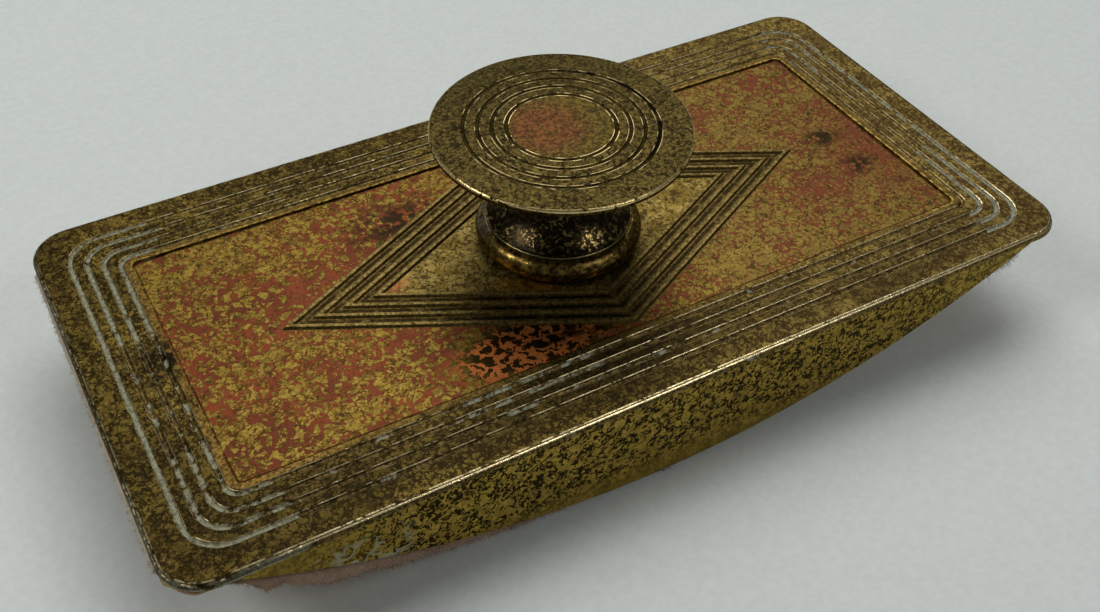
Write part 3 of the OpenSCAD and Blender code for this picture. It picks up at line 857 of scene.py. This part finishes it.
def trimmed_half_width(x):
    """Half the strip's width at x: its corners are cut to stay under the cover's round ones."""
    past = max(0.0, abs(x) - (HALF_L - CORNER_R))
    r = CORNER_R - 0.4
    return min(PAPER_HALF_W, HALF_W - CORNER_R - 0.4 + math.sqrt(max(0.0, r * r - past * past)))


def frayed(x):
    """How much the front edge has spread out under the skirt, from 0 to 1."""
    left = smooth(x, -65.0, -58.0) * (1 - smooth(x, -24.0, -8.0))
    left *= 0.55 + 0.45 * smooth(-x, 20.0, 52.0)
    tuft = 0.25 * smooth(x, -4.0, -2.5) * (1 - smooth(x, -1.5, 0.0))
    return max(left, tuft)


def edge_reach(x, seed):
    """The ragged edge's own outline, in millimetres out from a straight cut."""
    waves = 0.55 * wobble(x, 6.0, seed) + 0.45 * wobble(x, 1.9, seed + 1)
    return waves + 0.22 * wobble(x, 0.6, seed + 2)


PATH_STEP = 0.35
# Rows of the strip's mesh, as distances in from either edge: close together where it frays
ROWS = (0.0, 0.12, 0.3, 0.55, 0.9, 1.4, 2.2, 3.5, 6.0, 10.0, 16.0, 24.0)
# How far the frayed edge reaches out, and how far in from it the paper has its full thickness
FULL_REACH = 1.7
FIRM_AT = 0.9
LUMP_DEPTH = 0.12
# How far the left fold has come away from the rocker plate's lip
LOOSE_FOLD = 0.08
# Nothing of the paper's fuzz comes nearer to the desk than this
FUZZ_LOW = 0.12
FIBRE_CURL = 0.55
THIRD_TURN = 2.094
# How many fibres are tried along the front edge, and how many stand on the left fold
EDGE_FIBRES = 900
FOLD_FIBRES = 420
# The tufts on the front edge: place along X, spread and number of fibres
TUFTS = ((58.5, 3.0, 110), (-2.0, 0.7, 30))
# The tuft at the right end: place along Y and number of fibres
END_TUFT = (-28.5, 60)


def strip_point(place, distance, side, layer):
    """A point of the strip: distance in from the front (side -1) or back edge, on the outer
    (layer 1) or inner (-1) face."""
    x, z, nx, nz = place
    underneath = 1.0 if nz < 0 else 0.0
    spread = frayed(x) * underneath if side < 0 else 0.0
    reach = spread * (FULL_REACH + edge_reach(x, 3)) + 0.06 * wobble(x, 0.8, 9 + side)
    y = side * (trimmed_half_width(x) + reach - distance)
    thin = 0.35 + 0.65 * smooth(distance, 0.0, FIRM_AT)
    lumps = 0.5 + 0.5 * noise.noise(Vector((x / 1.3, y / 1.3, z)))
    settle = min(1.0, z / 2.0)
    offset = layer * PAPER_T / 2 * (thin if spread or nz > 0 else 1.0)
    offset -= LUMP_DEPTH * lumps * settle * (layer > 0)
    out = max(0.0, abs(y) - PAPER_HALF_W + 0.4) * spread
    droop = 0.22 * out * out * (1 + 0.7 * wobble(x, 2.4, 5)) + 0.15 * out * wobble(x, 0.9, 6)
    droop = min(droop, 0.7 * z)
    loose = LOOSE_FOLD * smooth(abs(nx), 0.2, 1.0) * (x < 0)
    loose *= 1 + 0.5 * wobble(y, 5.0, 12) + 0.4 * wobble(y, 1.2, 13)
    return ((x + nx * offset - loose) * MM, y * MM, (z + nz * offset - droop) * MM)


def make_strip():
    """The paper as one closed sheet: two faces, two ragged long edges and two cut tails."""
    path = strip_path(PATH_STEP)
    across = [(d, -1) for d in ROWS] + [(d, 1) for d in reversed(ROWS)]
    wide = len(across)
    points = [strip_point(p, d, side, layer) for layer in (1, -1) for p in path for d, side in across]
    layer_size = len(path) * wide
    faces = []
    for i in range(len(path) - 1):
        for j in range(wide - 1):
            a, b = i * wide + j, (i + 1) * wide + j
            faces.append((a, b, b + 1, a + 1))
            faces.append(tuple(layer_size + corner for corner in (a, a + 1, b + 1, b)))
        for j, flip in ((0, 1), (wide - 1, -1)):
            a, b = i * wide + j, (i + 1) * wide + j
            faces.append((a, layer_size + a, layer_size + b, b)[::flip])
    for i, flip in ((0, -1), (len(path) - 1, 1)):
        for j in range(wide - 1):
            a = i * wide + j
            faces.append((a, layer_size + a, layer_size + a + 1, a + 1)[::flip])
    mesh = bpy.data.meshes.new("paper_strip")
    mesh.from_pydata(points, [], faces)
    mesh.polygons.foreach_set("use_smooth", [True] * len(mesh.polygons))
    return new_object("paper_strip", mesh)


def new_object(name, mesh):
    """A new object with that mesh, in the scene."""
    mesh.update()
    piece = bpy.data.objects.new(name, mesh)
    bpy.context.scene.collection.objects.link(piece)
    return piece


def add_fibre(bm, root, direction, length, thick, random):
    """One curled fibre: a tapering three-sided tube, closed at both ends."""
    direction = direction.normalized()
    rings = []
    place = Vector((root.x, root.y, max(root.z, FUZZ_LOW)))
    for i in range(4):
        side = direction.orthogonal().normalized()
        width = thick * (1 - 0.22 * i)
        ring = []
        for k in range(3):
            out = Matrix.Rotation(THIRD_TURN * k, 3, direction) @ side * width
            ring.append(bm.verts.new((place + out) * MM))
        rings.append(ring)
        curl = Vector([random.uniform(-FIBRE_CURL, FIBRE_CURL) for _ in range(3)])
        direction = (direction + curl).normalized()
        place = place + direction * (length / 3)
        place.z = max(place.z, FUZZ_LOW)
    for low, high in zip(rings, rings[1:]):
        for k in range(3):
            bm.faces.new((low[k], low[(k + 1) % 3], high[(k + 1) % 3], high[k]))
    bm.faces.new(rings[0][::-1])
    bm.faces.new(rings[-1])


def underside_z(x):
    """Height of the middle of the strip above the desk, under the cover."""
    if abs(x) > FLAT_X:
        return FLAT_Z + PAPER_T / 2
    return PAPER_R - math.sqrt((PAPER_R - PAPER_T / 2) ** 2 - x * x)


def make_fuzz(random):
    """Loose fibres along the frayed front edge and the left fold, and a few small tufts."""
    bm = bmesh.new()
    for _ in range(EDGE_FIBRES):
        x = random.uniform(-64.0, -8.0)
        amount = frayed(x)
        if random.random() > amount + 0.1:
            continue
        place = (x, underside_z(x), x / PAPER_R, -1.0)
        root = Vector(strip_point(place, random.uniform(0.0, 0.25), -1, 1)) / MM
        aim = Vector((random.uniform(-0.8, 0.8), -0.7, random.uniform(-0.8, 0.45)))
        add_fibre(bm, root, aim, random.uniform(0.3, 0.9), random.uniform(0.025, 0.05), random)
    for _ in range(FOLD_FIBRES):
        y = random.uniform(-29.0, 28.0)
        bulge = LOOSE_FOLD * (1 + 0.5 * wobble(y, 5.0, 12))
        a = random.uniform(-0.9, 0.9)
        r = WRAP_R + PAPER_T / 2 - 0.1
        root = Vector((-WRAP_X - r * math.cos(a) - bulge, y, WRAP_Z + r * math.sin(a)))
        aim = Vector((-0.8, random.uniform(-0.8, 0.8), random.uniform(-0.7, 0.5)))
        add_fibre(bm, root, aim, random.uniform(0.25, 0.7), random.uniform(0.02, 0.045), random)
    for x, spread, count in TUFTS:
        for _ in range(count):
            at = random.gauss(x, spread / 2)
            root = Vector((at, -PAPER_HALF_W - random.uniform(0.0, 0.7), underside_z(at) + 0.1))
            aim = Vector((random.uniform(-0.6, 0.6), -1.0, random.uniform(-0.5, 0.3)))
            add_fibre(bm, root, aim, random.uniform(0.5, 1.4), random.uniform(0.03, 0.05), random)
    end_y, count = END_TUFT
    for _ in range(count):
        root = Vector((WRAP_X + 0.7, random.gauss(end_y, 0.8), WRAP_Z + random.uniform(-0.3, 0.3)))
        aim = Vector((1.0, random.uniform(-0.8, 0.3), random.uniform(-0.4, 0.4)))
        add_fibre(bm, root, aim, random.uniform(0.3, 0.9), random.uniform(0.025, 0.045), random)
    mesh = bpy.data.meshes.new("paper_fuzz")
    bm.to_mesh(mesh)
    bm.free()
    return new_object("paper_fuzz", mesh)


def make_paper():
    """The paper strip and its fuzz, in place of the CAD paper."""
    strip = make_strip()
    fuzz = make_fuzz(Random(7))
    material = paper_fibre()
    for piece in (strip, fuzz):
        piece.data.materials.append(material)
        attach(piece, "rocker")
    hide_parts("blotting_paper")
    cut_length = 2 * (TAIL + math.pi * WRAP_R + WRAP_X - FLAT_X)
    cut_length += 2 * math.asin(FLAT_X / PAPER_R) * (PAPER_R - PAPER_T / 2)


# ---------------------------------------------------------------- stage, light and camera

AIM = Vector((-9.02, -13.51, PLATE_TOP)) * MM
AZIMUTH = -30.62
ELEVATION = 43.88
DISTANCE = 174.5 * MM
ROLL = 1.64
LENS = 40.83


def look_from(azimuth, elevation):
    """Unit vector from the object towards a viewer; azimuth 0 looks along +Y."""
    a, e = math.radians(azimuth), math.radians(elevation)
    return Vector((math.sin(a) * math.cos(e), -math.cos(a) * math.cos(e), math.sin(e)))


def make_camera():
    """The camera at the photographer's place."""
    data = bpy.data.cameras.new("camera")
    data.lens = LENS
    data.clip_start, data.clip_end = 0.01, 10
    camera = bpy.data.objects.new("camera", data)
    bpy.context.scene.collection.objects.link(camera)
    back = look_from(AZIMUTH, ELEVATION)
    turned = (-back).to_track_quat("-Z", "Y").to_matrix().to_4x4()
    roll = Matrix.Rotation(math.radians(ROLL), 4, "Z")
    camera.matrix_world = Matrix.Translation(AIM + back * DISTANCE) @ turned @ roll
    bpy.context.scene.camera = camera


def make_light(name, azimuth, elevation, distance, size, power):
    """A square white area light, which faces the object."""
    data = bpy.data.lights.new(name, "AREA")
    data.shape, data.size, data.energy = "SQUARE", size, power
    light = bpy.data.objects.new(name, data)
    bpy.context.scene.collection.objects.link(light)
    towards = look_from(azimuth, elevation)
    turned = towards.to_track_quat("Z", "Y").to_matrix().to_4x4()
    light.matrix_world = Matrix.Translation(towards * distance) @ turned


def make_floor():
    """A plain pale floor of fine-grained paper."""
    mesh = bpy.data.meshes.new("floor")
    half = 3.0
    corners = [(-half, -half, 0), (half, -half, 0), (half, half, 0), (-half, half, 0)]
    mesh.from_pydata(corners, [], [(0, 1, 2, 3)])
    floor = new_object("floor", mesh)
    g = Graph("floor_m", Specular_IOR_Level=0.2)
    grain = g.noise(1.2, 3.0, 0.6, seed=61)
    colour = g.mix(g.ramp(grain, 0.3, 0.7), (213, 218, 214), (219, 224, 220))
    mesh.materials.append(g.finish(colour, 0.9, 0.0, g.bump(grain, 0.05)))


def make_world():
    """Dim, even light from all round."""
    world = bpy.data.worlds.new("studio")
    world.use_nodes = True
    background = world.node_tree.nodes["Background"]
    background.inputs["Color"].default_value = linear((214, 220, 220))
    background.inputs["Strength"].default_value = 0.145
    bpy.context.scene.world = world


def dress(node, material):
    """Puts a material on a CAD node."""
    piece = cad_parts[node]
    if not piece.material_slots:
        piece.data.materials.append(material)
    for slot in piece.material_slots:
        slot.material = material


bpy.context.scene.view_settings.view_transform = "Standard"
make_camera()
make_world()
make_floor()
make_light("left_box", AZIMUTH - 70, 45, distance=0.6, size=0.2, power=0.85)
make_light("right_box", AZIMUTH + 62, 45, distance=0.6, size=0.2, power=0.42)
make_light("back_sheet", AZIMUTH + 180, 58, distance=0.9, size=0.7, power=4.7)

dress("cover_plate", cover_bronze())
dress("knob_disc", knob_disc_bronze())
dress("knob_neck", knob_neck_dark())
dress("knob_bead", knob_bead_gold())
for node, look in HIDDEN_METAL.items():
    dress(node, plain_metal(*look))
make_paper()
